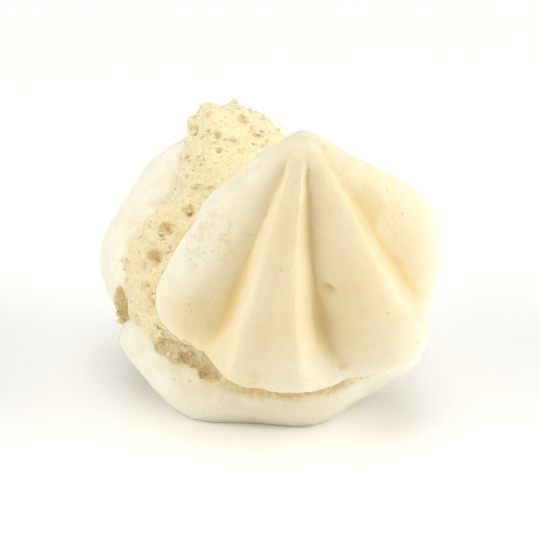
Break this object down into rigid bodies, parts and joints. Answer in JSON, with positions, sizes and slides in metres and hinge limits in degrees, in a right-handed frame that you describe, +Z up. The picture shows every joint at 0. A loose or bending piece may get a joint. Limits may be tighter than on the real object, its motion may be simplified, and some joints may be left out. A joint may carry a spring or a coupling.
{
  "type": "meringue cookie",
  "caption": "Double meringue: a tall star-piped kiss stuck base to base on a squat piped shell, with a torn crumbly seam, resting on a small flat spot.",
  "frame": {"origin": "on the table, in the middle of the flat spot that the cookie rests on", "axes": "+Z up, -Y towards the front, where the upper shell's tip leans, +X to the right"},
  "size_m": [0.0506, 0.056, 0.0503],
  "materials": {
    "baked_meringue": "matt, dry, fine-grained, with a torn porous seam"
  },
  "bodies": {
    "root": {"meringue": "baked_meringue"}
  },
  "joints": []
}
